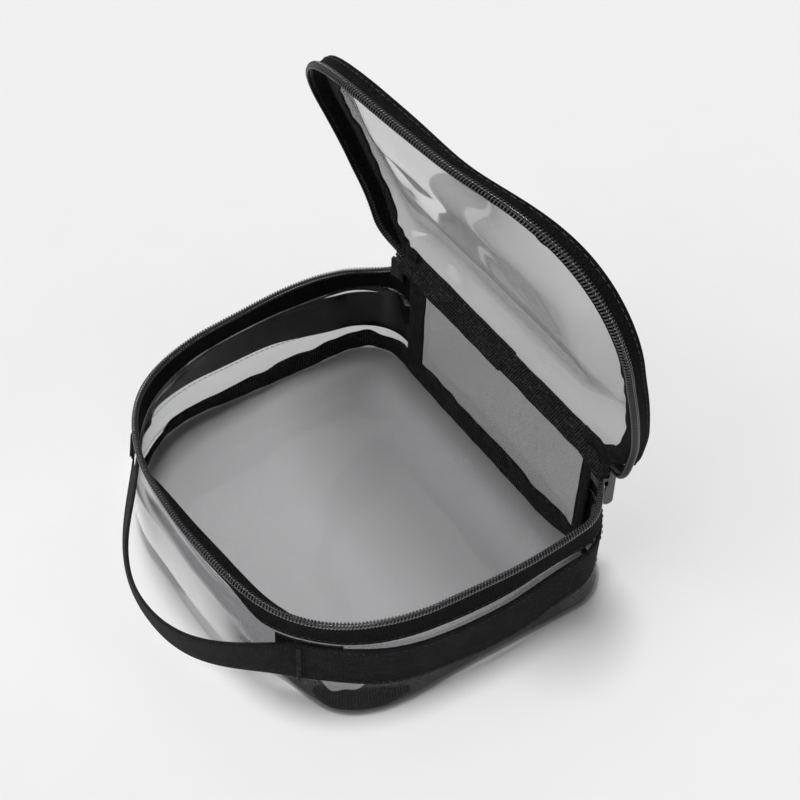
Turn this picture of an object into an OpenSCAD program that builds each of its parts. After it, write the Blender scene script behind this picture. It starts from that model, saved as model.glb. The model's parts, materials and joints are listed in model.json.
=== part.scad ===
// Clear makeup bag with a zip-round hinged lid and a webbing carry strap.
// Origin: centre of the base on the surface it stands on. +Z up, -Y is the front, millimetres.
// The lid is drawn open; its parts are laid out closed and then turned about the hinge line.

/* [Body] */
// Width over the clear walls
bag_w = 190; // [180:1:230]
// Depth over the clear walls
bag_d = 166; // [155:1:200]
// Plan radius of the two front corners
front_r = 67; // [55:1:68]
// Plan radius of the two back corners
back_r = 23; // [22:1:26]
// Thickness of the clear film
film_t = 0.8; // [0.5:0.1:1]
// Height of the clear side wall, hidden behind the zip tape at its top
wall_h = 50; // [48:1:52]
// Half width of the flat back wall, seam to seam
back_half_w = 66; // [62:1:66]

/* [Zip] */
// Lower edge of the zip tape on the body
tape_low_z = 43; // [40:1:44]
// Thickness of the woven tape
tape_t = 0.9; // [0.7:0.1:0.9]
// Height where the body's coil starts
coil_z = 57.1; // [57.1:0.1:57.4]
// Height and thickness of one coil
coil_size = 2.6; // [2.2:0.1:2.6]
// Gap left between the two coils when the lid is shut but not zipped
coil_gap = 2.7; // [2.7:0.1:2.8]

/* [Lid] */
// How far the lid stands open from shut
lid_open = 72; // [60:1:90]
// Height of the hinge line above the floor
hinge_z = 70.6; // [70.6:0.1:71.4]

/* [Bindings] */
// Thickness of the folded woven binding
binding_t = 1.6; // [1.2:0.1:1.6]
// Width of the binding along the lid seam
lid_binding_w = 8; // [6:0.5:9]
// Width of the binding on the two upright back seams
corner_binding_w = 9; // [7:0.5:9]
// Height of the binding that stands round the base seam
base_binding_h = 7.8; // [6:0.2:7.8]

/* [Strap] */
// Webbing width
strap_w = 25; // [20:1:25]
// Webbing thickness
strap_t = 1.6; // [1.5:0.1:1.8]
// Lower edge of the webbing above the floor
strap_low_z = 9.5; // [9:0.5:10]
// How far the free loop reaches in front of the bag's front wall
handle_reach = 22.5; // [20:0.5:26]

/* [Pulls] */
// Length of a pull tab from its pivot to its tip
pull_l = 24; // [20:0.5:24]
// Thickness of a pull tab
pull_t = 1.2; // [1:0.1:1.4]

/* [Hidden] */
$fn = 96;

film_colour = [0.62, 0.63, 0.64, 0.5];
woven_colour = [0.10, 0.10, 0.11];
coil_colour = [0.05, 0.05, 0.06];
metal_colour = [0.16, 0.16, 0.17];
thread_colour = [0.20, 0.20, 0.21];

front_y = -bag_d / 2;
back_y = bag_d / 2;
front_cx = bag_w / 2 - front_r;
front_cy = front_y + front_r;
back_cx = bag_w / 2 - back_r;
back_cy = back_y - back_r;

// The coils lie in the middle of the tape's thickness.
coil_in = tape_t / 2 - coil_size / 2;
coil_out = tape_t / 2 + coil_size / 2;
lid_coil_z = coil_z + coil_size + coil_gap;

// The hinge line runs just outside the top edge of the back wall.
hinge_behind = 0.2;
hinge_y = back_y + hinge_behind;
panel_above_hinge = 0.3;
panel_z = hinge_z + panel_above_hinge;
wall_below_hinge = 0.4;
back_wall_top = hinge_z - wall_below_hinge;
panel_back_gap = 0.4;
// The coils and the lid's tape stop this far outside the back wall's seams.
coil_end_gap = 2;
lid_end_gap = 1;

// Bindings: their clearance from the film and where they start and end.
binding_gap = 0.2;
base_binding_t = 2.6;
base_binding_low_z = film_t + 0.4;
corner_binding_gap = 0.3;
corner_binding_low_z = base_binding_h + 1.7;
corner_binding_h = tape_low_z + 8;
lid_binding_in = 1.4;
lid_binding_drop = 0.4;

// Slider, in the plane of one back corner: radii from the corner's centre.
chain_r = back_r + tape_t / 2;
park_angle = 77;
slider_span = 22;
slider_play = 0.45;
plate_t = 1.2;
lip_gap = 0.95;
lip_h = 1;
lip_play = 0.5;
slider_low_z = coil_z - lip_play - lip_h;
slider_top_z = lid_coil_z + coil_size + lip_play + lip_h;
post_play = 0.35;
post_span = 8;
outer_plate_r = chain_r + coil_size / 2 + slider_play;
inner_plate_r = chain_r - coil_size / 2 - slider_play;
// The lid's coil starts clear of the parked slider.
park_clearance = 6;
lid_coil_start = park_angle - slider_span / 2 - park_clearance;
lid_tape_over_slider_z = slider_top_z + lip_play;

// Bridge bar that the pull tab hangs on.
bar_r = 0.6;
bar_play = 0.05;
bar_stand = 2.6;
bar_x = outer_plate_r + plate_t + bar_stand;
bar_z = coil_z + coil_size + coil_gap / 2;
bar_half = 3.2;
foot_t = 1;
foot_lip = 0.2;
pull_head_r = 2;
pull_tip_r = 2.4;
// The tab's straight flanks start just inside its round ends.
flank_in = 0.03;
flank_top_z = -0.2;

// The strap is sewn down as far as this angle round each front corner, below the X axis.
strap_end_angle = 52;
tack_angle = 51;
tack_span = 1.6;
tack_t = 0.5;
tack_inset = 1;
// An angle well past the tack, where the free loop has left the wall.
past_tack = 110;
patch_t = 0.8;
patch_start = 35;
patch_end = 62;
patch_low_z = 11;
patch_top_z = 36.5;

// The free loop is one arc through both ends and the point furthest forward.
loop_end_r = front_r + 2.2;
loop_end_angle = strap_end_angle + 1;
loop_end_gap = 0.8;
loop_end_x = front_cx + loop_end_r * cos(loop_end_angle);
loop_end_y = front_cy - loop_end_r * sin(loop_end_angle);
loop_sag = loop_end_y - front_y + handle_reach;
loop_r = (loop_end_x * loop_end_x + loop_sag * loop_sag) / (2 * loop_sag);
loop_cy = loop_end_y - loop_sag + loop_r;
loop_half_angle = asin(loop_end_x / loop_r) - loop_end_gap;

// Sewing thread, and how far each row lies from its edge.
thread_t = 0.3;
thread_w = 0.4;
rim_row_in = 2.4;
lid_row_in = 1.5;
strap_low_row_in = 2.2;
strap_top_row_in = 2.6;

// Longer than anything that a cutting shape has to reach past.
far = 60;

// Plan outline of the walls, grown outwards by grow. Its corners are true arcs.
module outline(grow) {
    square_between(-bag_w / 2 - grow, front_cy, bag_w / 2 + grow, back_cy);
    square_between(-front_cx, front_y - grow, front_cx, 0);
    square_between(-back_cx, 0, back_cx, back_y + grow);
    for (side = [-1, 1]) {
        translate([side * front_cx, front_cy]) circle(front_r + grow);
        translate([side * back_cx, back_cy]) circle(back_r + grow);
    }
}

module square_between(x0, y0, x1, y1) {
    translate([x0, y0]) square([x1 - x0, y1 - y0]);
}

module ring(inside, outside) {
    difference() {
        outline(outside);
        outline(inside);
    }
}

// Plan area behind the two back corner centres, spreading to the given angle.
module hinge_zone(angle) {
    polygon([[-back_cx, back_cy], [back_cx, back_cy],
        [back_cx + far * cos(angle), back_cy + far * sin(angle)],
        [-back_cx - far * cos(angle), back_cy + far * sin(angle)]]);
}

// A wall that runs round the sides and front and stops at x = +-half_gap on the back.
module u_band(inside, outside, z0, z1, half_gap) {
    translate([0, 0, z0]) linear_extrude(z1 - z0) difference() {
        ring(inside, outside);
        square_between(-half_gap, 0, half_gap, back_y + far);
    }
}

// A wall that starts at the given angle round each back corner.
module cut_band(inside, outside, z0, z1, angle) {
    translate([0, 0, z0]) linear_extrude(z1 - z0) difference() {
        ring(inside, outside);
        hinge_zone(angle);
    }
}

// Turns the closed lid's parts about the hinge line to where the lid stands.
module at_lid() {
    translate([0, hinge_y, hinge_z]) rotate([-lid_open, 0, 0])
        translate([0, -hinge_y, -hinge_z]) children();
}

// Plan wedge round a right front corner, between two angles below the X axis.
module front_wedge(from, to) {
    translate([front_cx, front_cy]) polygon([[0, 0],
        [2 * far * cos(from), -2 * far * sin(from)],
        [2 * far * cos((from + to) / 2), -2 * far * sin((from + to) / 2)],
        [2 * far * cos(to), -2 * far * sin(to)]]);
}

module on_side(side) {
    if (side < 0) mirror([1, 0, 0]) children();
    else children();
}

module base_panel() {
    color(film_colour) linear_extrude(film_t) outline(0);
}

module gusset_wall() {
    color(film_colour) u_band(-film_t, 0, film_t, wall_h, back_half_w);
}

module back_wall() {
    color(film_colour) translate([-back_half_w, back_y - film_t, film_t])
        cube([2 * back_half_w, film_t, back_wall_top - film_t]);
}

module base_binding() {
    color(woven_colour) translate([0, 0, base_binding_low_z]) linear_extrude(base_binding_h)
        ring(-film_t - binding_gap - base_binding_t, -film_t - binding_gap);
}

module corner_binding(side) {
    color(woven_colour) on_side(side)
        translate([back_half_w - corner_binding_w, back_y - film_t - corner_binding_gap - binding_t,
            corner_binding_low_z])
            cube([corner_binding_w, binding_t, corner_binding_h]);
}

module rim_zip_tape() {
    color(woven_colour) u_band(0, tape_t, tape_low_z, coil_z, back_half_w);
}

module rim_zip_coil() {
    color(coil_colour) u_band(coil_in, coil_out, coil_z, coil_z + coil_size,
        back_half_w + coil_end_gap);
}

module rim_stitching() {
    row_z = tape_low_z + rim_row_in;
    color(thread_colour) u_band(tape_t, tape_t + thread_t, row_z, row_z + thread_w, back_half_w);
}

// Half of the webbing, from the upright back seam to the front corner tack.
module strap(side) {
    color(woven_colour) on_side(side) difference() {
        translate([0, 0, strap_low_z]) linear_extrude(strap_w) strap_plan(0, strap_t);
        translate([0, 0, patch_low_z]) linear_extrude(patch_top_z - patch_low_z) patch_plan();
    }
}

module strap_plan(inside, outside) {
    difference() {
        ring(inside, outside);
        square_between(-bag_w, front_y - far, front_cx, back_y + far);
        translate([0, back_cy]) square([back_half_w, far]);
        front_wedge(strap_end_angle, past_tack);
    }
    back_stub(inside, outside);
}

// The stretch of a side strip between the back corner's arc and the upright seam.
module back_stub(inside, outside) {
    square_between(back_half_w, back_y + inside, back_cx, back_y + outside);
}

module patch_plan() {
    intersection() {
        ring(0, patch_t);
        front_wedge(patch_start, patch_end);
    }
}

module strap_patch(side) {
    color(woven_colour) on_side(side)
        translate([0, 0, patch_low_z]) linear_extrude(patch_top_z - patch_low_z) patch_plan();
}

module bar_tack(side) {
    color(thread_colour) on_side(side)
        translate([0, 0, strap_low_z + tack_inset]) linear_extrude(strap_w - 2 * tack_inset) intersection() {
            ring(strap_t, strap_t + tack_t);
            front_wedge(tack_angle - tack_span / 2, tack_angle + tack_span / 2);
        }
}

module strap_stitching() {
    low_row = strap_low_z + strap_low_row_in;
    top_row = strap_low_z + strap_w - strap_top_row_in;
    color(thread_colour) for (side = [-1, 1]) for (z = [low_row, top_row])
        on_side(side) translate([0, 0, z]) linear_extrude(thread_w) difference() {
            strap_plan(strap_t, strap_t + thread_t);
            front_wedge(tack_angle - tack_span, past_tack);
        }
}

module lid_panel() {
    color(film_colour) at_lid() translate([0, 0, panel_z]) linear_extrude(film_t) difference() {
        outline(tape_t);
        square_between(-bag_w, back_y - panel_back_gap, bag_w, back_y + far);
    }
}

module lid_zip_tape() {
    color(woven_colour) at_lid() {
        cut_band(0, tape_t, lid_coil_z + coil_size, lid_tape_over_slider_z, lid_coil_start);
        u_band(0, tape_t, lid_tape_over_slider_z, panel_z, back_half_w + lid_end_gap);
    }
}

module lid_zip_coil() {
    color(coil_colour) at_lid()
        cut_band(coil_in, coil_out, lid_coil_z, lid_coil_z + coil_size, lid_coil_start);
}

module lid_binding() {
    color(woven_colour) at_lid()
        translate([0, 0, panel_z - lid_binding_drop - binding_t]) linear_extrude(binding_t)
            ring(-lid_binding_in - lid_binding_w, -lid_binding_in);
}

module lid_stitching() {
    row_z = panel_z - lid_row_in;
    color(thread_colour) at_lid()
        u_band(tape_t, tape_t + thread_t, row_z - thread_w, row_z, back_half_w + lid_end_gap);
}

// A slice of a ring round the back corner's centre, in the right corner's own frame.
module sector(r0, r1, z0, z1, from, span) {
    rotate([0, 0, from]) rotate_extrude(angle = span)
        translate([r0, z0]) square([r1 - r0, z1 - z0]);
}

module at_back_corner(side) {
    on_side(side) translate([back_cx, back_cy, 0]) rotate([0, 0, park_angle]) children();
}

// Two plates with lips that hold the coils, joined by the post between the chains.
module slider(side) {
    half = slider_span / 2;
    color(metal_colour) at_back_corner(side) {
        sector(outer_plate_r, outer_plate_r + plate_t, slider_low_z, slider_top_z, -half, slider_span);
        sector(inner_plate_r - plate_t, inner_plate_r, slider_low_z, slider_top_z, -half, slider_span);
        for (z = [slider_low_z, slider_top_z - lip_h]) {
            sector(chain_r + lip_gap, outer_plate_r, z, z + lip_h, -half, slider_span);
            sector(inner_plate_r, chain_r - lip_gap, z, z + lip_h, -half, slider_span);
        }
        sector(inner_plate_r, outer_plate_r, coil_z + coil_size + post_play, lid_coil_z - post_play,
            -half, post_span);
        bridge();
    }
}

// Bar along the chain, held off the outer plate by two feet.
module bridge() {
    translate([bar_x, -bar_half, bar_z]) rotate([-90, 0, 0]) cylinder(h = 2 * bar_half, r = bar_r);
    for (y = [-bar_half, bar_half - foot_t])
        translate([outer_plate_r + plate_t / 2, y, bar_z - bar_r - foot_lip])
            cube([bar_x - outer_plate_r - plate_t / 2 + bar_r + foot_lip, foot_t, 2 * (bar_r + foot_lip)]);
}

// Flat teardrop that hangs edge-on to the wall, like a link, with a hole for the bridge bar.
module pull_tab(side) {
    tip_x = pull_tip_r - pull_head_r;
    tip_z = pull_tip_r - pull_l;
    color(metal_colour) at_back_corner(side) translate([bar_x, 0, bar_z]) difference() {
        union() {
            disc(0, 0, pull_head_r, pull_t);
            disc(tip_x, tip_z, pull_tip_r, pull_t);
            translate([0, pull_t / 2, 0]) rotate([90, 0, 0]) linear_extrude(pull_t)
                polygon([[-pull_head_r + flank_in, flank_top_z], [pull_head_r - flank_in, flank_top_z],
                    [tip_x + pull_tip_r - flank_in, tip_z], [tip_x - pull_tip_r + flank_in, tip_z]]);
        }
        disc(0, 0, bar_r + bar_play, 2 * pull_t);
    }
}

// Disc of the given thickness, standing across the chain.
module disc(x, z, r, thickness) {
    translate([x, thickness / 2, z]) rotate([90, 0, 0]) cylinder(h = thickness, r = r);
}

module handle_loop() {
    color(woven_colour) translate([0, loop_cy, strap_low_z]) rotate([0, 0, -90 - loop_half_angle])
        rotate_extrude(angle = 2 * loop_half_angle)
            translate([loop_r - strap_t / 2, 0]) square([strap_t, strap_w]);
}

base_panel();
gusset_wall();
back_wall();
base_binding();
corner_binding(-1);  // corner_binding_left
corner_binding(1);  // corner_binding_right
rim_zip_tape();
rim_zip_coil();
rim_stitching();
strap(-1);  // strap_left
strap(1);  // strap_right
strap_patch(-1);  // strap_patch_left
strap_patch(1);  // strap_patch_right
bar_tack(-1);  // bar_tack_left
bar_tack(1);  // bar_tack_right
strap_stitching();
lid_panel();
lid_zip_tape();
lid_zip_coil();
lid_binding();
lid_stitching();
slider(-1);  // slider_left
slider(1);  // slider_right
pull_tab(-1);  // pull_tab_left
pull_tab(1);  // pull_tab_right
handle_loop();
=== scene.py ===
"""Clear makeup bag: film shells, bound seams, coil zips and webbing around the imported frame."""
import json
import math

import bpy
import numpy as np
from mathutils import Matrix, Vector


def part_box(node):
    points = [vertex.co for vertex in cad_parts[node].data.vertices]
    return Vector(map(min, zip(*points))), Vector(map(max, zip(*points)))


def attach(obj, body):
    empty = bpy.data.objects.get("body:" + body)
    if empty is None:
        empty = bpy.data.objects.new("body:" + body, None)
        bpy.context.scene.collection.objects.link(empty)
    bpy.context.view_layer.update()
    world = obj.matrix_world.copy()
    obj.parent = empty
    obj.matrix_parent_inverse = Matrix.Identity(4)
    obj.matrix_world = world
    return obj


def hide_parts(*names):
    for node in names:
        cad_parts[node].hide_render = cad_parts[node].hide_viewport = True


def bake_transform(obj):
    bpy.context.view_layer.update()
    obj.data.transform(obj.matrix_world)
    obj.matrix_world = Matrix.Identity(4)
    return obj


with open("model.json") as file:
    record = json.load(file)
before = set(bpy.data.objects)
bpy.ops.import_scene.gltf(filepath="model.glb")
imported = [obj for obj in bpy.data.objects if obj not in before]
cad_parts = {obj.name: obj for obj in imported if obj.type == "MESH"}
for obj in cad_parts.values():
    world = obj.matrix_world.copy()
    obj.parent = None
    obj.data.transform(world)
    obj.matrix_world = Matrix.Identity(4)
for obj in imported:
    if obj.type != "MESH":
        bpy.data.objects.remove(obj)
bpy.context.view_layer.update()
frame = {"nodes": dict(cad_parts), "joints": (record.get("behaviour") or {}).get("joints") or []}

MM = 0.001
SIDE_WORD = {-1: "left", 1: "right"}
scene = bpy.context.scene


# ---------------------------------------------------------------- camera

def make_camera():
    """Looks down on the front right of the bag, rolled a little."""
    position = Vector((0.3723, -0.2416, 0.5779))
    target = Vector((-0.0308, 0.0516, 0.0259))
    roll = math.radians(-2.5)
    forward = (target - position).normalized()
    right = forward.cross(Vector((0, 0, 1))).normalized()
    up = right.cross(forward)
    across = right * math.cos(roll) - up * math.sin(roll)
    upright = right * math.sin(roll) + up * math.cos(roll)
    data = bpy.data.cameras.new("camera")
    data.sensor_width = 36
    data.lens = 69.5
    data.clip_end = 20
    camera = bpy.data.objects.new("camera", data)
    axes = Matrix((across, upright, -forward)).transposed()
    camera.matrix_world = Matrix.Translation(position) @ axes.to_4x4()
    scene.collection.objects.link(camera)
    scene.camera = camera


make_camera()


# ---------------------------------------------------------------- sizes, in millimetres

def node_box(name):
    low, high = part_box(name)
    return np.array(low) / MM, np.array(high) / MM


BASE_LOW, BASE_HIGH = node_box("base_panel")
BAG_W = BASE_HIGH[0] - BASE_LOW[0]
BAG_D = BASE_HIGH[1] - BASE_LOW[1]
FRONT_R = 67
BACK_R = 23
FILM_T = 0.7
SEAM_X = node_box("back_wall")[1][0]
TAPE_LOW = node_box("rim_zip_tape")[0][2]
TAPE_TOP = node_box("rim_zip_tape")[1][2]
COIL_Z = (node_box("rim_zip_coil")[0][2] + node_box("rim_zip_coil")[1][2]) / 2
STRAP_LOW = node_box("strap_right")[0][2]
STRAP_TOP = node_box("strap_right")[1][2]
STRAP_T = 1.6

HINGE = next(j for j in frame["joints"] if j["name"] == "lid_hinge")
HINGE_Y = HINGE["pos_m"][1] / MM
HINGE_Z = HINGE["pos_m"][2] / MM
LID_OPEN = -math.radians(HINGE["range_deg"][0])
# Heights of the lid's parts while it is shut.
LID_COIL_Z = COIL_Z + 5.3
PANEL_Z = HINGE_Z + 0.7


# ---------------------------------------------------------------- curves

def ramp(x, start, end):
    """0 before start, 1 after end and a smooth step between."""
    t = np.clip((np.asarray(x, float) - start) / (end - start), 0, 1)
    return t * t * (3 - 2 * t)


def bump(x, centre, width):
    return np.exp(-((np.asarray(x, float) - centre) / width) ** 2)


def ripple(x, y, seed=0.0):
    """Smooth wandering between about -1 and 1 over a few dozen millimetres."""
    a = np.sin(x * 0.071 + y * 0.053 + seed) + np.sin(x * 0.113 - y * 0.087 + 2.1 * seed + 1.3)
    b = np.sin(x * 0.031 + y * 0.127 + 3.7 * seed + 0.6) + np.sin(x * 0.197 + y * 0.043 + 1.7 * seed)
    return (a + b) / 4


def through(x, *knots):
    """A smooth curve through (place, value) knots, level at both ends."""
    at, value = np.array(knots, float).T
    slope = np.gradient(value, at)
    slope[[0, -1]] = 0
    x = np.clip(np.asarray(x, float), at[0], at[-1])
    k = np.clip(np.searchsorted(at, x, side="right") - 1, 0, len(at) - 2)
    span = at[k + 1] - at[k]
    t = (x - at[k]) / span
    ends = value[k] * (1 + 2 * t) * (1 - t) ** 2 + value[k + 1] * t * t * (3 - 2 * t)
    return ends + span * (slope[k] * t * (1 - t) ** 2 - slope[k + 1] * t * t * (1 - t))


def bezier(points, count):
    t = np.linspace(0, 1, count)[:, None]
    a, b, c, d = (np.array(p, float) for p in points)
    return a * (1 - t) ** 3 + 3 * b * t * (1 - t) ** 2 + 3 * c * t * t * (1 - t) + d * t ** 3


def unit(vectors):
    return vectors / np.linalg.norm(vectors, axis=1)[:, None]


def run_length(path):
    """Distance from the start of a path to each of its points."""
    return np.r_[0, np.cumsum(np.linalg.norm(np.diff(path, axis=0), axis=1))]


# ---------------------------------------------------------------- plan outline

def outline_table(step=0.25):
    """Distance, place and outward normal along the walls, from the middle of the back towards +X."""
    fx, fy = BAG_W / 2 - FRONT_R, -BAG_D / 2 + FRONT_R
    bx, by = BAG_W / 2 - BACK_R, BAG_D / 2 - BACK_R
    arcs = [(bx, by, BACK_R, 90), (fx, fy, FRONT_R, 0), (-fx, fy, FRONT_R, -90), (-bx, by, BACK_R, 180)]
    rows = [(0, BAG_D / 2, 0, 1)]
    for cx, cy, radius, start in arcs:
        turns = np.radians(np.linspace(start, start - 90, int(radius * math.pi / 2 / step)))
        for nx, ny in np.c_[np.cos(turns), np.sin(turns)]:
            rows.append((cx + radius * nx, cy + radius * ny, nx, ny))
    rows.append(rows[0])
    rows = np.array(rows)
    return run_length(rows[:, :2]), rows


DISTANCE, ROWS = outline_table()
AROUND = DISTANCE[-1]
SEAM_S = SEAM_X
# Middles of the front corner and the front, as folded distances.
CORNER_Q = 237
FRONT_Q = AROUND / 2
# Where the rim tape is drawn in most, right of the middle of the front.
TUCK_S = 284
# Where the carry loop is sewn down, part of the way round the front corner.
TACK_TURN = math.radians(51)
SIDE_LENGTH = BAG_D - FRONT_R - BACK_R
TACK_S = BAG_W / 2 - BACK_R + BACK_R * math.pi / 2 + SIDE_LENGTH + FRONT_R * TACK_TURN


def outline(s):
    """Points and outward normals at the distances s."""
    s = np.asarray(s, float) % AROUND
    x, y, nx, ny = (np.interp(s, DISTANCE, ROWS[:, k]) for k in range(4))
    return np.stack([x, y], -1), np.stack([nx, ny], -1)


def folded(s):
    """Distance from the middle of the back, the same on both sides."""
    s = np.asarray(s, float) % AROUND
    return np.minimum(s, AROUND - s)


def on_side(s, side):
    """The distances s on the right side (1), or those of the same places on the left side (-1)."""
    return s if side > 0 else AROUND - s[::-1]


def on_left(s):
    """1 on the left half of the bag, 0 on the right, turning smoothly at the front."""
    s = np.asarray(s, float) % AROUND
    return ramp(s, AROUND / 2 - 25, AROUND / 2 + 25)


def mixed(s, right, left):
    """One value on the right half of the bag, another on the left."""
    return right + (left - right) * on_left(s)


# ---------------------------------------------------------------- side wall
# The first five functions say how far lines round the wall stand outside the plan outline.

def base_offset(s):
    q = folded(s)
    right = through(q, (46, 0), (66, 2.5), (92, 5.5), (110, 4.9), (140, 3.8), (196, 3.5), (212, 5.5),
                    (222, 5.8), (230, 4.4), (240, 0), (250, -4.0), (262, -6.0), (FRONT_Q, -6))
    left = through(q, (46, 0), (66, 0.8), (140, 1.2), (185, 3.5), (205, 5.5), (222, 6.5), (240, 4.0),
                   (266, -3.0), (FRONT_Q, -6))
    return mixed(s, right, left)


def strap_low_offset(s):
    q = folded(s)
    right = through(q, (66, 0), (118, 0.6), (142, 3.0), (162, 2.2), (182, -0.5), (209, -3.1), (238, -4.8),
                    (262, -2.2), (292, 1.5), (FRONT_Q, 2.5))
    left = through(q, (66, 0), (118, 0.4), (142, 1.4), (182, 0), (209, 1.5), (238, 2.8), (262, 2.8),
                   (FRONT_Q, 2.5))
    return mixed(s, right, left)


def strap_top_offset(s):
    q = folded(s)
    right = through(q, (66, 0), (121, -0.2), (148, 1.5), (169, 0.6), (198, -3.0), (235, -5.0), (258, -3.8),
                    (290, -0.2), (FRONT_Q, 1.2))
    left = through(q, (66, 0), (121, -0.2), (148, 1.5), (169, 0.6), (198, -1.5), (235, -0.5), (290, 0.5),
                   (FRONT_Q, 1.2))
    return mixed(s, right, left)


def tape_low_offset(s):
    sides = through(folded(s), (66, 0), (121, 0.3), (150, 1.5), (169, 0.6), (198, -2.8), (235, -3.7),
                    (262, -3.2), (295, -2.6), (FRONT_Q, -2.4))
    return sides - 1.8 * bump(s, TUCK_S - 6, 16)


def rim_offset(s):
    q = folded(s)
    sides = through(q, (66, 0), (110, 0.1), (144, 1.3), (172, -0.4), (200, -2.8), (CORNER_Q, -2.4),
                    (270, -3.0), (300, -1.4), (FRONT_Q, -0.9))
    left = 2.0 * bump(q, 96, 18) + 1.2 * bump(q, 185, 45)
    return sides - 1.3 * bump(s, TUCK_S, 18) - mixed(s, 2.5 * bump(q, 90, 15), left)


def rim_rise(s):
    """How far the zip climbs towards the hinge at its ends."""
    return 5 * (1 - ramp(folded(s), 68, 90))


def strap_rise(s):
    """How far the webbing sits above its lowest place. It rides up along the left side."""
    q = folded(s)
    right = through(q, (66, 5), (100, 3), (200, 3), (232, 5))
    left = through(q, (66, 4.5), (100, 4), (155, 10), (206, 11), (232, 11))
    return mixed(s, right, left)


def tape_low(s):
    """The lower edge of the rim tape. It dips at the zip's ends and is folded up along the front."""
    q = folded(s)
    folded_up = ramp(s, 262, 286) * (1 - ramp(s, 372, 395))
    dip = mixed(s, 3.5 * bump(q, 66, 18), 4.0 * bump(q, 80, 26))
    return TAPE_LOW + 0.25 * np.sin(s / 9.0) - dip + 8.5 * folded_up


def wall_offset(s, z):
    """How far the side wall stands outside the plan outline. The webbing draws it in."""
    z = np.asarray(z, float)
    lines = (base_offset, strap_low_offset, strap_top_offset, tape_low_offset, rim_offset)
    base, low, high, tape, rim = (line(s) for line in lines)
    strap_low, strap_top = STRAP_LOW + 3, STRAP_TOP + 3
    rounded_foot = 1.8 * (1 - np.clip(z / 4, 0, 1)) ** 2
    wall = base + (low - base) * ramp(z, 0, strap_low) - rounded_foot
    wall = wall + (high - low) * np.clip((z - strap_low) / (strap_top - strap_low), 0, 1)
    wall = wall + (tape - high) * np.clip((z - strap_top) / (TAPE_LOW - strap_top), 0, 1)
    return wall + (rim - tape) * np.clip((z - TAPE_LOW) / (TAPE_TOP - TAPE_LOW), 0, 1.1)


def rim_drop(s, z):
    """The rim sags a little on the left, most at the back corner."""
    return on_left(s) * (1 + 3.5 * bump(folded(s), 96, 18)) * ramp(z, 30, 60)


def wall_point(s, stand, z):
    """A point that stands out from the side wall by stand, at height z."""
    s, stand, z = np.broadcast_arrays(np.asarray(s, float), stand, z)
    xy, normal = outline(s)
    xy = xy + normal * (wall_offset(s, z) + stand)[..., None]
    return np.concatenate([xy, (z - rim_drop(s, z))[..., None]], -1)


# ---------------------------------------------------------------- lid shape

def lid_warp(x, back):
    """How far the open lid's film bends out of its plane. back runs from 0 at the hinge to 1."""
    u = x / (BAG_W / 2)
    belly = 4 * back * (1 - back)
    bend = 11 * belly - 47 * back * back * (1 - back)
    twist = 8 * u * back - 4.5 * u * belly
    cross = (u * u - 0.3) * (10 * back - 6.4 * belly)
    return bend + twist + cross + (4.5 + 2.4 * u) * ramp(back, 0, 0.25)


def lid_point(points):
    """Carries points laid out on the shut lid to the open, bent lid."""
    points = np.asarray(points, float)
    x, y, z = points[..., 0], points[..., 1] - HINGE_Y, points[..., 2]
    back = np.clip(-y / BAG_D, 0, 1)
    widening = (0.07 + 0.01 * np.sign(x)) * ramp(back, 0, 0.5)
    left_pinch = (11 * (1 - ramp(back, 0.02, 0.33)) + 1.8 * ramp(back, 0.6, 1)) * ramp(-x, 58, 95)
    x2 = x * (1 + widening) + left_pinch
    y2 = y * 0.908
    dent = bump(x, 30, 30) * ramp(back, 0.7, 0.98)
    height = z - LID_COIL_Z
    z2 = height * (1.03 - 0.28 * dent) - 2.2 * dent + LID_COIL_Z - HINGE_Z + lid_warp(x, back)
    c, s = math.cos(LID_OPEN), math.sin(LID_OPEN)
    return np.stack([x2, HINGE_Y + y2 * c + z2 * s, HINGE_Z - y2 * s + z2 * c], -1)


def lid_wall_point(s, stand, z):
    """A point that stands out from the lid's side band by stand, at height z of the shut lid."""
    s, stand, z = np.broadcast_arrays(np.asarray(s, float), stand, z)
    xy, normal = outline(s)
    xy = xy + normal * np.asarray(stand, float)[..., None]
    return lid_point(np.concatenate([xy, z[..., None]], -1))


# ---------------------------------------------------------------- mesh building

def add_mesh(name, points, faces, uv=None):
    """A new object from points in millimetres, with one UV per point, also in millimetres."""
    mesh = bpy.data.meshes.new(name)
    mesh.from_pydata((np.asarray(points) * MM).tolist(), [], faces)
    if uv is not None:
        layer = mesh.uv_layers.new(name="flat")
        index = np.zeros(len(mesh.loops), int)
        mesh.loops.foreach_get("vertex_index", index)
        layer.data.foreach_set("uv", np.asarray(uv, float)[index].ravel())
    mesh.polygons.foreach_set("use_smooth", [True] * len(mesh.polygons))
    mesh.validate()
    mesh.update()
    obj = bpy.data.objects.new(name, mesh)
    scene.collection.objects.link(obj)
    return obj


def ring_quads(rows, around, closed, start=0):
    """Quads between neighbouring rings of points."""
    faces = []
    for i in range(rows if closed else rows - 1):
        a, b = start + i * around, start + (i + 1) % rows * around
        for j in range(around):
            k = (j + 1) % around
            faces.append((a + j, a + k, b + k, b + j))
    return faces


def end_strips(rows, around, start=0):
    """Strips of quads that shut the first and the last ring."""
    faces = []
    last = start + (rows - 1) * around
    for j in range(around // 2 - 1):
        k = around - 1 - j
        faces.append((start + j, start + k, start + k - 1, start + j + 1))
        faces.append((last + j, last + j + 1, last + k - 1, last + k))
    return faces


def flat_grid(along, across):
    """UVs for rings of points: the distance along the rings, and round each."""
    return np.stack(np.meshgrid(along, across, indexing="ij"), -1).reshape(-1, 2)


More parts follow.
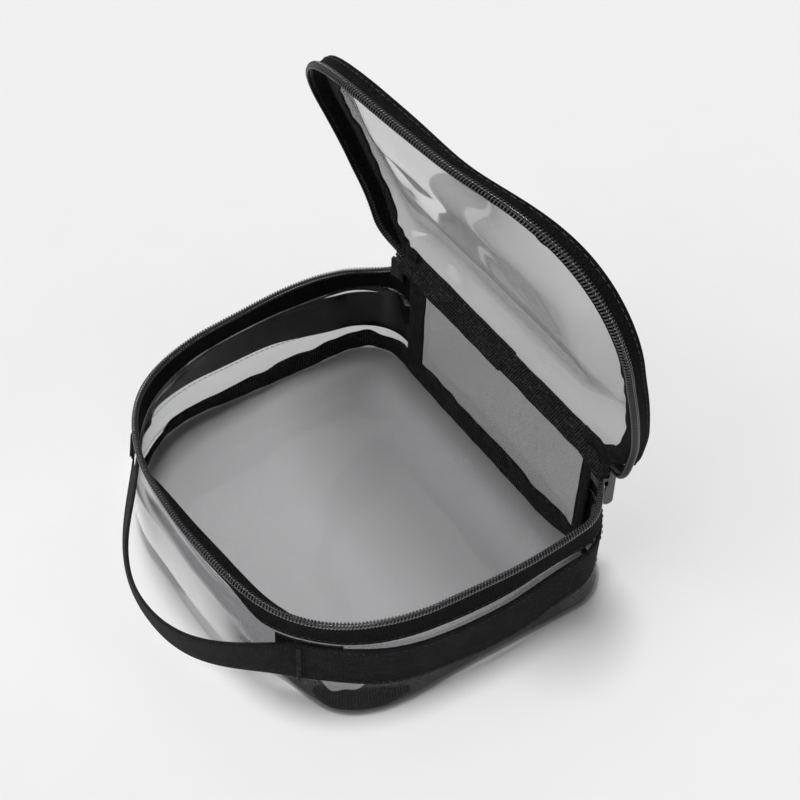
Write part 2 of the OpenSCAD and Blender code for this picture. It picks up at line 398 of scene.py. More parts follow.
def loft(name, rings, closed=False):
    """A solid through rings of points. rings has the shape rows, points, 3."""
    rings = np.asarray(rings, float)
    rows, around = rings.shape[:2]
    faces = ring_quads(rows, around, closed)
    if not closed:
        faces += end_strips(rows, around)
    uv = flat_grid(run_length(rings.mean(1)), run_length(rings[rows // 2]))
    return add_mesh(name, rings.reshape(-1, 3), faces, uv)


def section(width, thick, points=9, sharp=6.0):
    """A flat closed section with rounded edges, as (across, out) pairs: one face, then the other."""
    t = np.linspace(-1, 1, points)
    v = np.sign(t) * (1 - (1 - abs(t)) ** 1.6)
    w = (1 - abs(v) ** sharp) ** (1 / sharp)
    w[[0, -1]] = 0.25
    outer = np.c_[v * width / 2, w * thick / 2]
    inner = np.c_[v[::-1] * width / 2, -w[::-1] * thick / 2]
    return np.r_[outer, inner]


def binding_sections(count, width, thick, sharp=4.0, creases=(), depth=0.35):
    """One section for each of count rings of a folded tape, with creases where it's sewn through.

    width and thick may vary from ring to ring; creases are shares of the width from its middle.
    """
    profile = np.broadcast_to(section(1.0, 1.0, 11, sharp), (count, 22, 2)).copy()
    groove = 1 - depth * sum(bump(profile[..., 0], at, 0.07) for at in creases)
    width, thick = (np.broadcast_to(np.asarray(v, float), (count,))[:, None] for v in (width, thick))
    return np.stack([profile[..., 0] * width, profile[..., 1] * thick * groove], -1)


def sweep(name, places, across, out, profile):
    """Carries a section along places, with its own across and out directions at each."""
    rings = places[:, None] + profile[..., :1] * across[:, None] + profile[..., 1:] * out[:, None]
    return loft(name, rings)


def join(name, objects):
    """One object from several."""
    bpy.ops.object.select_all(action="DESELECT")
    for o in objects:
        o.select_set(True)
    bpy.context.view_layer.objects.active = objects[0]
    bpy.ops.object.join()
    objects[0].name = name
    return objects[0]


def tubes(name, paths, radius, sides=6):
    """Round threads with tapered ends along several paths of points, as one object."""
    points, faces, uv = [], [], []
    start = 0
    turn = np.linspace(0, 2 * math.pi, sides, endpoint=False)
    cosine, sine = np.cos(turn)[None, :, None], np.sin(turn)[None, :, None]
    for path in paths:
        path = np.asarray(path, float)
        ahead = unit(np.gradient(path, axis=0))
        guide = np.where(abs(ahead[:, 2:]) > 0.9, [[1.0, 0, 0]], [[0, 0, 1.0]])
        side = unit(np.cross(ahead, guide))
        up = np.cross(side, ahead)
        ring = radius * (cosine * side[:, None] + sine * up[:, None])
        ring[[0, -1]] *= 0.45
        points.append((path[:, None] + ring).reshape(-1, 3))
        faces += ring_quads(len(path), sides, False, start) + end_strips(len(path), sides, start)
        uv.append(flat_grid(run_length(path), np.arange(sides) * radius))
        start += len(path) * sides
    return add_mesh(name, np.concatenate(points), faces, np.concatenate(uv))


# ---------------------------------------------------------------- materials

class Nodes:
    """A material's node tree, with short ways to add to it."""

    def __init__(self, name):
        self.material = bpy.data.materials.new(name)
        self.material.use_nodes = True
        self.tree = self.material.node_tree
        self.tree.nodes.clear()

    def add(self, kind, inputs=None, **settings):
        node = self.tree.nodes.new("ShaderNode" + kind)
        for key, value in settings.items():
            setattr(node, key, value)
        for key, value in (inputs or {}).items():
            self.put(node.inputs[key], value)
        return node

    def put(self, socket, value):
        if isinstance(value, bpy.types.NodeSocket):
            self.tree.links.new(value, socket)
        else:
            socket.default_value = value

    def math(self, operation, a, b=0.0, c=0.0):
        node = self.add("Math", operation=operation)
        for socket, value in zip(node.inputs, (a, b, c)):
            self.put(socket, value)
        return node.outputs[0]

    def dot(self, a, b):
        return self.add("VectorMath", {0: a, 1: b}, operation="DOT_PRODUCT").outputs["Value"]

    def smooth(self, value, low, high):
        """0 below low, 1 above high and a smooth step between."""
        ends = {"Value": value, "From Min": low, "From Max": high}
        return self.add("MapRange", ends, interpolation_type="SMOOTHSTEP").outputs[0]

    def mix_colour(self, share, a, b):
        node = self.add("Mix", data_type="RGBA")
        for index, value in ((0, share), (6, a), (7, b)):
            self.put(node.inputs[index], value)
        return node.outputs[2]

    def bump(self, height, strength, distance):
        return self.add("Bump", {"Strength": strength, "Distance": distance, "Height": height}).outputs[0]

    def finish(self, shader):
        output = self.add("OutputMaterial")
        self.tree.links.new(shader, output.inputs["Surface"])
        return self.material

    def place(self):
        """Place on the object, in metres."""
        return self.add("TexCoord").outputs["Object"]

    def flat(self):
        """The two flat coordinates of a sewn piece, in millimetres."""
        split = self.add("SeparateXYZ", {0: self.add("UVMap", uv_map="flat").outputs[0]})
        return split.outputs[0], split.outputs[1]

    def wave(self, x, pitch):
        """0 to 1 and back over each pitch."""
        sine = self.math("SINE", self.math("MULTIPLY", x, 2 * math.pi / pitch))
        return self.math("MULTIPLY_ADD", sine, 0.5, 0.5)

    def noise(self, scale, detail, rough):
        ends = {"Vector": self.place(), "Scale": scale, "Detail": detail, "Roughness": rough}
        return self.add("TexNoise", ends).outputs["Fac"]


def grey(value, blue=1.0):
    """A grey with its blue a little above the rest."""
    return value, value, value * blue, 1


def painted_glare_share(n, facing, strength):
    """Painted glare on the outer side of the front left wall, where it's seen at a slant: a white cloud in
    soft streaks that stands in for a bright reflection.
    """
    front_left = (-0.45, -1.0, 0)
    front = n.smooth(n.dot(n.place(), front_left), 0.045, 0.088)
    outer_side = n.smooth(n.dot(n.add("NewGeometry").outputs["Normal"], front_left), 0.0, 0.22)
    slant = n.smooth(facing, 0.42, 0.62)
    streaks = n.math("MULTIPLY_ADD", n.noise(22, 1, 0.4), 1.2, 0.4)
    where = n.math("MULTIPLY", n.math("MULTIPLY", front, outer_side), slant)
    return n.math("MULTIPLY", where, n.math("MULTIPLY", streaks, strength))


def film(name, tint, haze, ripple_height, shine=0.04, glare=0.0, shade=0.5):
    """Smoky clear PVC: a see-through body with a mirror-like skin that strengthens edge-on.

    haze is the share of cloudiness in the body and shade is the cloud's grey. The glare strength adds
    painted glare to that cloud on the front left wall.
    """
    n = Nodes(name)
    facing = n.add("LayerWeight", {"Blend": 0.5}).outputs["Facing"]
    mirror = n.math("MULTIPLY_ADD", n.math("POWER", facing, 5.0), 0.93, shine)
    bumped = n.bump(n.noise(16, 1, 0.3), 0.5, ripple_height)
    # Painted glare: white cloud added to the haze where the front left wall is seen at a slant, in place of
    # a reflection.
    if glare:
        haze = n.math("ADD", painted_glare_share(n, facing, glare), haze)
    clear = n.add("BsdfTransparent", {"Color": grey(tint, 1.005)})
    cloud = n.add("BsdfPrincipled", {"Base Color": grey(shade, 1.01), "Roughness": 0.5})
    gloss = n.add("BsdfGlossy", {"Color": grey(0.95), "Roughness": 0.035, "Normal": bumped})
    body = n.add("MixShader", {0: haze, 1: clear.outputs[0], 2: cloud.outputs[0]})
    skin = n.add("MixShader", {0: mirror, 1: body.outputs[0], 2: gloss.outputs[0]})
    return n.finish(skin.outputs[0])


def woven(name, weave, dark, light, depth, roughness, sheen=0.04, fuzz=0.6):
    """A woven tape between two greys. weave(nodes) gives its height from 0 to 1."""
    n = Nodes(name)
    height = weave(n)
    grain = n.noise(900, 2, 0.7)
    blotch = n.noise(120, 3, 0.6)
    speck = n.math("POWER", n.math("MULTIPLY", grain, 1.7), 5.0)
    share = n.math("MULTIPLY_ADD", height, 1 - fuzz, n.math("MULTIPLY", speck, fuzz))
    share = n.math("MULTIPLY", share, n.math("MULTIPLY_ADD", blotch, 1.6, 0.2))
    colour = n.mix_colour(share, grey(dark, 1.04), grey(light, 1.03))
    bumped = n.bump(n.math("ADD", height, n.math("MULTIPLY", grain, 0.6)), 0.8, depth)
    rough = n.math("MULTIPLY_ADD", grain, 0.18, roughness - 0.1)
    cloth = n.add("BsdfPrincipled", {"Base Color": colour, "Roughness": rough, "Normal": bumped,
                                     "Sheen Weight": sheen, "Sheen Roughness": 0.45,
                                     "Specular IOR Level": 0.08})
    return n.finish(cloth.outputs[0])


def twill(n):
    """Fine diagonal ribs, reversed from one narrow panel to the next, and a tight selvedge."""
    panel_width, rib_pitch, end_pitch = 2.1, 1.6, 1.1
    along, across = n.flat()
    zigzag = n.math("PINGPONG", across, panel_width)
    ribs = n.math("POWER", n.wave(n.math("ADD", along, zigzag), rib_pitch), 2.0)
    return n.math("MULTIPLY_ADD", ribs, 0.7, n.math("MULTIPLY", n.wave(across, end_pitch), 0.3))


def grosgrain(n):
    """Ribs across the tape, broken by the warp ends."""
    rib_pitch, end_pitch = 1.35, 1.2
    along, across = n.flat()
    ribs = n.math("POWER", n.wave(along, rib_pitch), 2.0)
    return n.math("MULTIPLY", ribs, n.math("MULTIPLY_ADD", n.wave(across, end_pitch), 0.8, 0.2))


def herringbone(n):
    """The zip tape's columns of short slanting ribs."""
    column_width, rib_pitch = 1.2, 1.5
    along, across = n.flat()
    zigzag = n.math("PINGPONG", across, column_width)
    slant = n.wave(n.math("ADD", along, zigzag), rib_pitch)
    level = n.math("MULTIPLY", n.wave(along, rib_pitch), 0.3)
    return n.math("POWER", n.math("MULTIPLY_ADD", slant, 0.7, level), 2.0)


def twisted(n):
    """Slanting plies of sewing thread."""
    ply_pitch = 0.45
    along, across = n.flat()
    return n.wave(n.math("ADD", along, n.math("MULTIPLY", across, 2.0)), ply_pitch)


def moulded(name, base, roughness, coat):
    """Smooth plastic or enamel with faint mottling in its colour and gloss."""
    n = Nodes(name)
    gloss_change = 0.1
    mottle = n.noise(700, 3, 0.6)
    rough = n.math("MULTIPLY_ADD", mottle, gloss_change, roughness - gloss_change / 2)
    low, high = (base * 0.7, base * 0.7, base * 0.72, 1), (base * 1.4, base * 1.4, base * 1.45, 1)
    colour = n.mix_colour(mottle, low, high)
    skin = n.add("BsdfPrincipled", {"Base Color": colour, "Roughness": rough,
                                    "Normal": n.bump(mottle, 0.25, 0.00006),
                                    "Coat Weight": coat, "Coat Roughness": 0.12})
    return n.finish(skin.outputs[0])


def make_materials():
    return {
        # The clear film carries the painted glare; its near-white cloud grey is the glare's colour.
        "film": film("clear_film", tint=0.785, haze=0.004, ripple_height=0.0010, shine=0.026,
                     glare=1.05, shade=0.95),
        # Clearer and hazier than the clear film: the milky haze is the film's own, and the extra lightness
        # is painted light that offsets the shadow on the floor beneath the bag.
        "base_film": film("base_film", tint=0.88, haze=0.24, ripple_height=0.0015, shade=0.6),
        "lid_film": film("lid_film", tint=0.77, haze=0.03, ripple_height=0.0060),
        # Darker tint than the clear film: painted shade for the shadow on the floor behind the bag.
        "back_film_painted_shade": film("back_film_painted_shade", tint=0.57, haze=0.04, ripple_height=0.0050),
        "webbing": woven("webbing_twill", twill, dark=0.003, light=0.030, depth=0.00025,
                         roughness=0.8, sheen=0.008, fuzz=0.35),
        "binding": woven("binding_grosgrain", grosgrain, dark=0.002, light=0.048, depth=0.0004,
                         roughness=0.85, sheen=0.01, fuzz=0.35),
        "tape": woven("zip_tape_weave", herringbone, dark=0.001, light=0.013, depth=0.00025,
                      roughness=0.82, sheen=0.0, fuzz=0.4),
        "thread": woven("sewing_thread", twisted, dark=0.010, light=0.100, depth=0.00005, roughness=0.6),
        "coil": moulded("zip_coil_nylon", base=0.028, roughness=0.12, coat=0.9),
        "metal": moulded("black_enamel", base=0.012, roughness=0.30, coat=0.3),
    }


MATERIALS = make_materials()


def dress(obj, material):
    obj.data.materials.clear()
    obj.data.materials.append(MATERIALS[material])


def place(obj, body, material, node):
    """Gives a finished piece its material, in one slot, and its body, and hides the CAD node that it stands
    for.
    """
    dress(obj, material)
    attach(obj, body)
    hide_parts(node)


# ---------------------------------------------------------------- clear film

def film_sheet(name, point, s, z):
    """A film wall: point(s, stand, z) gives its outer face."""
    outer = point(s[:, None], 0.0, z[None])
    inner = point(s[:, None], -FILM_T, z[None, ::-1])
    return loft(name, np.concatenate([outer, inner], 1))


def make_side_film():
    s = np.linspace(SEAM_S, AROUND - SEAM_S, 240)
    z = np.r_[0.4, 1.0, 2.0, 3.5, 5.5, 8, 10, 12.5, 16, 20, 25, 30, 34, 37.5, 40, 43, 45.5]

    def rippled(s, stand, z):
        wander = 0.25 * ripple(s, z, 1.0) * ramp(z, 2, 14) * (1 - ramp(z, 38, 46))
        return wall_point(s, stand + wander, z)

    place(film_sheet("side_film", rippled, s, z), "shell", "film", "gusset_wall")


def make_back_film():
    x = np.linspace(-SEAM_X - 1, SEAM_X + 1, 70)
    z = np.linspace(0.5, HINGE_Z - 0.2, 26)

    def face(x, stand, z):
        x, z = np.broadcast_arrays(x, z)
        belly = 1.3 * np.sin(np.pi * z / HINGE_Z) * np.cos(np.pi * x / 145) + 0.2 * ripple(x * 0.6, z, 7.0)
        y = BAG_D / 2 - 0.1 + belly * ramp(z, 0, 12) * (1 - ramp(z, 58, 70)) + stand
        return np.stack([x, y, z], -1)

    # The back wall's film takes the darker material: painted shade.
    place(film_sheet("back_film_painted_shade", face, x, z), "shell", "back_film_painted_shade", "back_wall")


def plan_disc(edge, lift, thick, rings=26):
    """Points and faces of a flat sheet inside a closed plan outline. Its rings shrink to the middle."""
    shares = 1 - np.linspace(0, 1, rings) ** 1.15 * 0.97
    top = edge[None] * shares[:, None, None]
    height = lift(top[..., 0], top[..., 1])
    upper = np.concatenate([top, (height + thick)[..., None]], -1)
    lower = np.concatenate([top, height[..., None]], -1)[::-1]
    rows = np.concatenate([upper[::-1], lower[::-1]])
    count = len(edge)
    faces = ring_quads(len(rows), count, False)
    faces.append(tuple(range(count))[::-1])
    faces.append(tuple((len(rows) - 1) * count + k for k in range(count)))
    return rows.reshape(-1, 3), faces


def make_base_film():
    s = np.linspace(0, AROUND, 220, endpoint=False)
    edge = wall_point(s, -0.9, 0.4)[:, :2]

    def lift(x, y):
        edge_in = 1 - np.maximum(abs(x) / (BAG_W / 2), abs(y) / (BAG_D / 2))
        return 0.15 + (0.3 + 0.3 * ripple(x, y, 4.0)) * ramp(edge_in, 0.0, 0.2)

    points, faces = plan_disc(edge, lift, FILM_T * 0.8)
    sheet = add_mesh("base_film", points, faces, points[:, :2])
    place(sheet, "shell", "base_film", "base_panel")


def make_lid_film():
    s = np.linspace(0, AROUND, 220, endpoint=False)
    xy, normal = outline(s)
    edge = xy - normal * 0.3
    edge[:, 1] = np.minimum(edge[:, 1], BAG_D / 2 - 0.6)

    def lift(x, y):
        side, end = 1 - abs(x) / (BAG_W / 2), 1 - abs(y) / (BAG_D / 2)
        belly = 6 * ramp(side, 0.13, 0.40) * ramp(end, 0.15, 0.80)
        wander = 0.25 * ripple(x * 0.7, y * 0.7, 2.0) * ramp(np.minimum(side, end), 0.1, 0.4)
        return PANEL_Z - 0.35 - belly + wander

    points, faces = plan_disc(edge, lift, FILM_T)
    sheet = add_mesh("lid_film", lid_point(points), faces, points[:, :2])
    place(sheet, "lid", "lid_film", "lid_panel")


# ---------------------------------------------------------------- zip tapes

def band(name, point, s, low, high, stand, thick, points=13):
    """A tape that lies on a wall between two heights. low, high and stand may vary with s."""
    low, high, stand = (np.broadcast_to(np.asarray(v, float), s.shape) for v in (low, high, stand))
    profile = section(1.0, thick, points)
    z = (low + high)[:, None] / 2 + profile[None, :, 0] * (high - low)[:, None]
    out = stand[:, None] + thick / 2 + profile[None, :, 1]
    return loft(name, point(s[:, None], out, z))


def make_rim_lip():
    """The tape's edge, turned in over the rim where it is drawn in most."""
    s = np.linspace(TUCK_S - 36, TUCK_S + 62, 120)
    width = 0.6 + 4.6 * np.sin(np.pi * (s - s[0]) / (s[-1] - s[0])) ** 0.7
    shape = section(1.0, 0.8, 9)
    inward = (0.5 - shape[None, :, 0]) * width[:, None]
    z = TAPE_TOP + 0.7 - 0.25 * inward + shape[None, :, 1]
    return loft("rim_lip", wall_point(s[:, None], -0.4 - inward, z))


def make_body_tape():
    s = np.linspace(SEAM_S - 1, AROUND - SEAM_S + 1, 420)
    tape = band("body_zip_tape", wall_point, s, tape_low(s), TAPE_TOP + 0.6 + rim_rise(s), 0.1, 0.8)
    place(join("body_zip_tape", [tape, make_rim_lip()]), "shell", "tape", "rim_zip_tape")


def lid_zip_climb(s):
    """How far the lid's zip climbs towards the hinge at its ends."""
    return 6.0 * (1 - ramp(folded(s), 80, 106))


def make_lid_tape():
    s = np.linspace(SEAM_S + 2, AROUND - SEAM_S - 2, 420)
    low = LID_COIL_Z - 2.1 + lid_zip_climb(s)
    tape = band("lid_zip_tape", lid_wall_point, s, low, PANEL_Z + 0.1, 0.0, 0.9)
    place(tape, "lid", "tape", "lid_zip_tape")


# ---------------------------------------------------------------- zip coils

COIL_PITCH = 1.5
COIL_HEIGHT = 1.55
COIL_DEPTH = 1.15


def coil_turns(path, up, out):
    """The wound nylon of one zip coil along a path of points with its two section directions."""
    steps = 14
    run = run_length(path)
    t = np.arange(int(run[-1] / COIL_PITCH) * steps) / steps
    at = t * COIL_PITCH
    centre, rise, away = (np.stack([np.interp(at, run, v[:, k]) for k in range(3)], -1)
                          for v in (path, up, out))
    angle = 2 * math.pi * t
    head = 1 + 0.12 * np.maximum(np.sin(angle), 0) ** 4
    lift = (COIL_HEIGHT * head * np.sin(angle))[:, None]
    return centre + rise * lift + away * (COIL_DEPTH * np.cos(angle))[:, None]


def make_coil(name, body, point, s, z, stand, node, towards):
    """Coil, core cord and two chain stitches. towards is a small step up or down to the heads' side."""
    path = point(s, stand, z)
    up = unit(point(s, stand, z + towards) - path)
    out = unit(np.cross(unit(np.gradient(path, axis=0)), up))
    wire = tubes(name, [coil_turns(path, up, out)], 0.38)
    cord = tubes(name + "_cord", [path], 0.55, 8)
    chains = [path + out * side * COIL_DEPTH - up * 0.25 for side in (-1, 1)]
    chain = tubes(name + "_chain", chains, 0.22, 5)
    place(join(name, [wire, cord, chain]), body, "coil", node)


def make_body_coil():
    s = np.linspace(SEAM_S + 2, AROUND - SEAM_S - 2, 1200)
    make_coil("body_zip_coil", "shell", wall_point, s, COIL_Z + 0.1 + rim_rise(s), 0.8, "rim_zip_coil", 0.5)


def make_lid_coil():
    s = np.linspace(75, AROUND - 75, 1200)
    z = LID_COIL_Z - 0.2 + lid_zip_climb(s)
    make_coil("lid_zip_coil", "lid", lid_wall_point, s, z, 1.35, "lid_zip_coil", -0.5)


# ---------------------------------------------------------------- bindings

def make_base_binding():
    """Tape folded over the base seam, inside the walls. It's pressed down along the front right."""
    s = np.linspace(0, AROUND, 700, endpoint=False)
    q = folded(s)
    gather = 1 + 1.6 * bump(q, 90, 14) + 1.0 * bump(q, CORNER_Q, 30)
    sway = np.sin(s * 2 * math.pi / AROUND * 19) * 0.5 + ripple(s * 2.1, 0 * s, 3.0)
    back = 1 - ramp(q, 58, 84)
    pressed = (1 - on_left(s)) * ramp(q, 196, 222)
    lean = 4 - 3 * back + 3 * sway + 3 * ripple(s * 2.4, 0 * s, 1.0) * gather + 26 * pressed
    slope = np.tan(np.radians(np.maximum(lean, -1)))[:, None]
    foot = 1.6 + 0.3 * ripple(s * 2.4, 0 * s, 2.0) * gather
    height = 12.0 + 1.6 * back - 7.4 * pressed + 0.6 * ripple(s * 2.4, 0 * s, 5.0) * gather
    profile = binding_sections(len(s), 1.0, 2.4, creases=(0.18,))
    rise = (profile[..., 0] + 0.5) * height[:, None]
    stand = profile[..., 1] - FILM_T - 1.9 - rise * slope
    tape = loft("base_seam_binding", wall_point(s[:, None], stand, foot[:, None] + rise), closed=True)
    place(tape, "shell", "binding", "base_binding")


def make_upright_binding(side, start_x, width):
    """Tape folded over the seam at one end of the back wall."""
    z = np.linspace(6, HINGE_Z - 1.2, 64)
    sway = 0.5 * np.sin(z / 6.5 + side) + 0.4 * ripple(z * 3, 0 * z, 2.0 + side)
    y = BAG_D / 2 - 2.0 - 0.5 * sway - 1.5 * (1 - ramp(z, 6, 14))
    centre = np.c_[start_x + width / 2 + sway * 0.4, y, z]
    tilt = 0.08 * sway
    across = np.c_[np.cos(tilt), np.sin(tilt), 0 * z]
    out = np.c_[np.sin(tilt), -np.cos(tilt), 0 * z]
    profile = binding_sections(len(z), width + 0.3 * np.sin(z / 4.0), 2.8, 2.6, (-0.15 * side,))
    tape = sweep("upright_binding_" + SIDE_WORD[side], centre, across, out, profile)
    place(tape, "shell", "binding", "corner_binding_" + SIDE_WORD[side])


def make_lid_binding():
    """Tape folded over the lid's seam, lying inside the panel's edge."""
    s = np.linspace(SEAM_S - 2, AROUND - SEAM_S + 2, 560)
    q = folded(s)
    gather = 1 + 1.2 * bump(q, 90, 16) + 0.6 * bump(q, CORNER_Q, 40)
    wave = ripple(s * 2.2, 0 * s, 6.0) * gather
    width = 9.4 + 2.4 * ramp(q, 190, 232) + 0.3 * ripple(s * 2.6, 0 * s, 9.0)
    profile = binding_sections(len(s), 1.0, 1.9, creases=(0.2,))
    inward = 0.5 - profile[..., 0]
    sag = inward * (0.9 + 0.9 * wave)[:, None]
    z = PANEL_Z - 1.5 - sag + profile[..., 1]
    tape = loft("lid_seam_binding", lid_wall_point(s[:, None], -1.2 - inward * width[:, None], z))
    place(tape, "lid", "binding", "lid_binding")


def make_hinge_binding():
    """Tape folded over the seam that the lid turns on."""
    x = np.linspace(-SEAM_X - 5, SEAM_X + 19, 360)
    sway = ripple(x * 2.2, 0 * x, 8.0) + 0.7 * np.sin(x / 4.0) * bump(abs(x), SEAM_X + 2, 12)
    droop = 3.0 * ramp(x, SEAM_X - 4, SEAM_X + 18)
    centre = np.c_[x, HINGE_Y - 2.4 - 0.3 * sway - 0.6 * droop, HINGE_Z + 1.8 + 0.4 * sway - 0.5 * droop]
    tilt = np.radians(32 + 6 * sway)
    across = np.c_[0 * x, np.cos(tilt), np.sin(tilt)]
    out = np.c_[0 * x, -np.sin(tilt), np.cos(tilt)]
    lap = 1 - ramp(x, 10, 10.5)
    profile = binding_sections(len(x), 10.2 + 0.5 * sway + 1.5 * lap, 2.0 * (1 + 0.6 * lap),
                               creases=(-0.22, 0.22), depth=0.3)
    tape = sweep("hinge_binding", centre, across, out, profile)
    dress(tape, "binding")
    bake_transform(tape)


# ---------------------------------------------------------------- webbing and carry loop

def make_webbing(side):
    """The sewn run along one side. The left one stands a little off the wall in its middle."""
    s = on_side(np.linspace(SEAM_S, TACK_S + 1.2, 260), side)
    q = folded(s)
    loose = 4.5 * ramp(q, 92, 150) * (1 - ramp(q, 212, 228)) if side < 0 else 0
    stand = 0.15 + 0.75 * bump(q, TACK_S, 18) + loose
    rise = strap_rise(s)
    strap = band("webbing_" + SIDE_WORD[side], wall_point, s, STRAP_LOW + rise, STRAP_TOP + rise, stand,
                 STRAP_T, 17)
    place(strap, "shell", "webbing", "strap_" + SIDE_WORD[side])


def make_patch(side):
    """Short piece of webbing under the tack."""
    s = on_side(np.linspace(TACK_S - 19, TACK_S + 12, 60), side)
    rise = strap_rise(s) + 1.5
    name = "webbing_patch_" + SIDE_WORD[side]
    patch = band(name, wall_point, s, STRAP_LOW + rise, STRAP_TOP + rise, 0.05, 0.8)
    place(patch, "shell", "webbing", "strap_patch_" + SIDE_WORD[side])


def make_carry_loop():
    """The free webbing in front of the bag, sewn down at both ends."""
    right_end = wall_point(TACK_S - 4, 2.0, STRAP_LOW + 5)[:2]
    left_end = wall_point(AROUND - TACK_S + 4, 2.0, STRAP_LOW + 11)[:2]
    tip = np.array([3.5, -BAG_D / 2 - 22.3])
    right = bezier([right_end, right_end + np.array([-24, -22]), tip + np.array([38, 0.6]), tip], 90)
    left = bezier([tip, tip - np.array([35, 0.6]), left_end + np.array([27, -17]), left_end], 90)
    path = np.r_[right, left[1:]]
    share = run_length(path) / run_length(path)[-1]
    places = np.c_[path, through(share, (0, STRAP_LOW + 5), (0.5, STRAP_LOW + 2.8), (1, STRAP_LOW + 10.5))]
    ahead = unit(np.gradient(places, axis=0))
    inward = np.cross([0, 0, 1.0], ahead)
    inward *= -np.sign((inward * places).sum(1))[:, None]
    lean = np.radians(through(share, (0, 4), (0.1, -4), (0.45, -9), (0.75, 16), (1, 14)))
    across = np.array([0, 0, 1.0]) * np.cos(lean)[:, None] + inward * np.sin(lean)[:, None]
    out = np.cross(ahead, across)
    strap_width = STRAP_TOP - STRAP_LOW
    places += across * strap_width / 2
    loop = sweep("carry_loop", places, across, out, section(strap_width, STRAP_T, 17))
    dress(loop, "webbing")
    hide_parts("handle_loop")
    loop.visible_shadow = False
    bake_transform(loop)


# ---------------------------------------------------------------- stitches

def stitch_row(point, start, end, stand, z, length=2.6, gap=0.9):
    """Separate stitches along a row: each dips into the tape at both ends. z may vary with s."""
    paths = []
    t = np.linspace(0, 1, 5)
    hump = 0.28 * np.sin(np.pi * t) - 0.12
    s = start
    while s + length < end:
        at = s + t * length
        paths.append(point(at, stand + hump, z(at) if callable(z) else z))
        s += length + gap
    return paths


def make_body_stitches():
    paths = stitch_row(wall_point, SEAM_S, AROUND - SEAM_S, 0.95, lambda s: tape_low(s) + 2.4)
    place(tubes("body_tape_stitches", paths, 0.2), "shell", "thread", "rim_stitching")


def make_lid_stitches():
    paths = stitch_row(lid_wall_point, SEAM_S + 3, AROUND - SEAM_S - 3, 0.95, PANEL_Z - 1.7)
    place(tubes("lid_tape_stitches", paths, 0.2), "lid", "thread", "lid_stitching")


def make_webbing_stitches():
    runs = ((SEAM_S + 2, TACK_S - 2), (AROUND - TACK_S + 20, AROUND - SEAM_S - 2))
    paths = []
    for edge in (STRAP_LOW + 2.2, STRAP_TOP - 2.4):
        for start, end in runs:
            paths += stitch_row(wall_point, start, end, STRAP_T + 0.3, lambda s: edge + strap_rise(s),
                                length=2.2, gap=0.8)
    place(tubes("webbing_stitches", paths, 0.18), "shell", "thread", "strap_stitching")


def make_bar_tack(side):
    """Dense zigzag over two straight threads, which sews the loop's end down."""
    count = 34
    middle = TACK_S if side > 0 else AROUND - TACK_S
    stand = 4.0 if side > 0 else 3.0
    z = strap_rise(middle) + np.linspace(STRAP_LOW + 1, STRAP_TOP - 1, count)
    zigzag = 1.1 * (-1.0) ** np.arange(1, count + 1)
    paths = [wall_point(middle + side * zigzag, stand, z)]
    for aside in (-0.5, 0.5):
        paths.append(wall_point(middle + aside, stand - 0.2, z))
    tack = tubes("bar_tack_thread_" + SIDE_WORD[side], paths, 0.26)
    place(tack, "shell", "thread", "bar_tack_" + SIDE_WORD[side])


# ---------------------------------------------------------------- sliders and pulls

def softened(name, node, width, body):
    """A copy of a CAD piece with its edges rounded over."""
    mesh = frame["nodes"][node].data.copy()
    obj = bpy.data.objects.new(name, mesh)
    scene.collection.objects.link(obj)
    bevel = obj.modifiers.new("edges", "BEVEL")
    bevel.width = width * MM
    bevel.segments = 3
    bevel.limit_method = "ANGLE"
    bevel.angle_limit = math.radians(35)
    bpy.context.view_layer.objects.active = obj
    obj.select_set(True)
    bpy.ops.object.modifier_apply(modifier="edges")
    obj.select_set(False)
    mesh.polygons.foreach_set("use_smooth", [True] * len(mesh.polygons))
    place(obj, body, "metal", node)


def make_sliders():
    for side in ("left", "right"):
        softened("zip_slider_" + side, "slider_" + side, 0.3, side + "_slider")
        softened("zip_pull_" + side, "pull_tab_" + side, 0.35, side + "_pull")


# ---------------------------------------------------------------- floor and light

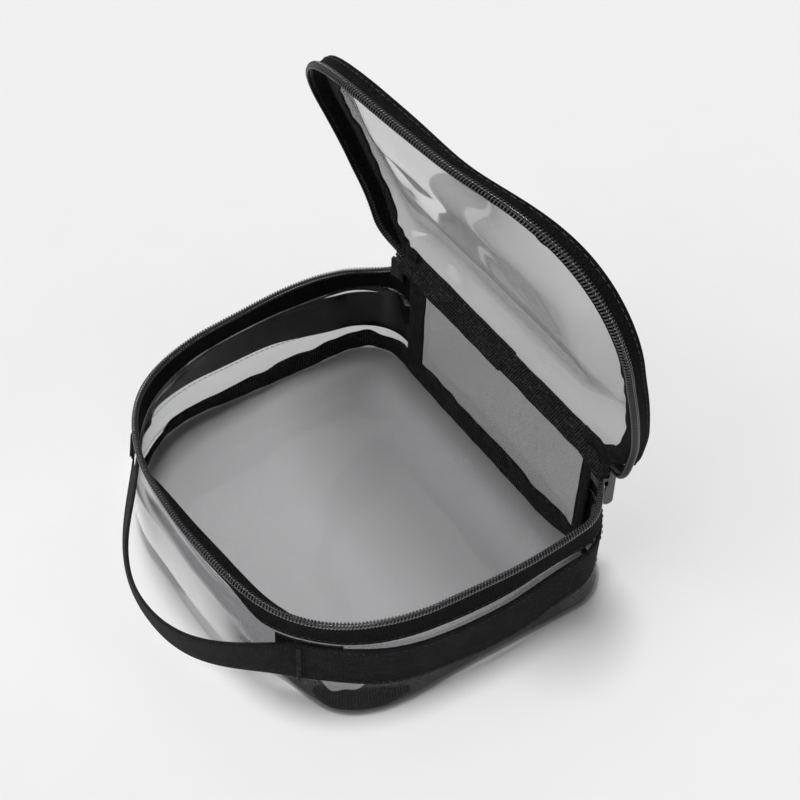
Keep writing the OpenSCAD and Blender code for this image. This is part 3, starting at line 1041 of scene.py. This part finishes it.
def make_stage():
    reach = 3.0
    corners = np.array([(-1, -1, 0), (1, -1, 0), (1, 1, 0), (-1, 1, 0)])
    floor = add_mesh("floor", corners * reach / MM, [(0, 1, 2, 3)])
    n = Nodes("pale_floor")
    colour = n.mix_colour(n.noise(30, 2, 0.5), grey(0.80), grey(0.82))
    paint = n.add("BsdfPrincipled", {"Base Color": colour, "Roughness": 0.7, "Specular IOR Level": 0.2})
    floor.data.materials.append(n.finish(paint.outputs[0]))


def add_light(kind, name, position, target, energy, **settings):
    data = bpy.data.lights.new(name, kind)
    data.energy = energy
    for key, value in settings.items():
        setattr(data, key, value)
    light = bpy.data.objects.new(name, data)
    light.location = position
    light.rotation_euler = (Vector(target) - Vector(position)).to_track_quat("-Z", "Y").to_euler()
    scene.collection.objects.link(light)


def make_light():
    world = bpy.data.worlds.new("studio")
    world.use_nodes = True
    sky = world.node_tree.nodes["Background"]
    sky.inputs["Color"].default_value = (1.0, 1.0, 1.0, 1)
    sky.inputs["Strength"].default_value = 0.30
    scene.world = world
    add_light("SUN", "overhead", (-0.11, 0.06, 1), (0, 0, 0), 1.92, angle=math.radians(15))
    add_light("SUN", "key", (-0.25, -1.00, 0.90), (0, 0, 0), 0.85, angle=math.radians(50))
    add_light("SPOT", "glow", (-0.12, -0.28, 0.5), (-0.035, -0.098, 0), 3.0, spot_size=math.radians(13.5),
              spot_blend=1.0, shadow_soft_size=0.10)
    scene.view_settings.view_transform = "Standard"
    scene.cycles.transparent_max_bounces = 24


# ---------------------------------------------------------------- build

make_side_film()
make_base_film()
make_back_film()
make_lid_film()
make_body_tape()
make_lid_tape()
make_body_coil()
make_lid_coil()
make_base_binding()
make_upright_binding(-1, -SEAM_X, 12)
make_upright_binding(1, SEAM_X + 1.2, 6.5)
make_lid_binding()
make_hinge_binding()
for side in (-1, 1):
    make_webbing(side)
    make_patch(side)
    make_bar_tack(side)
make_carry_loop()
make_body_stitches()
make_lid_stitches()
make_webbing_stitches()
make_sliders()
make_stage()
make_light()
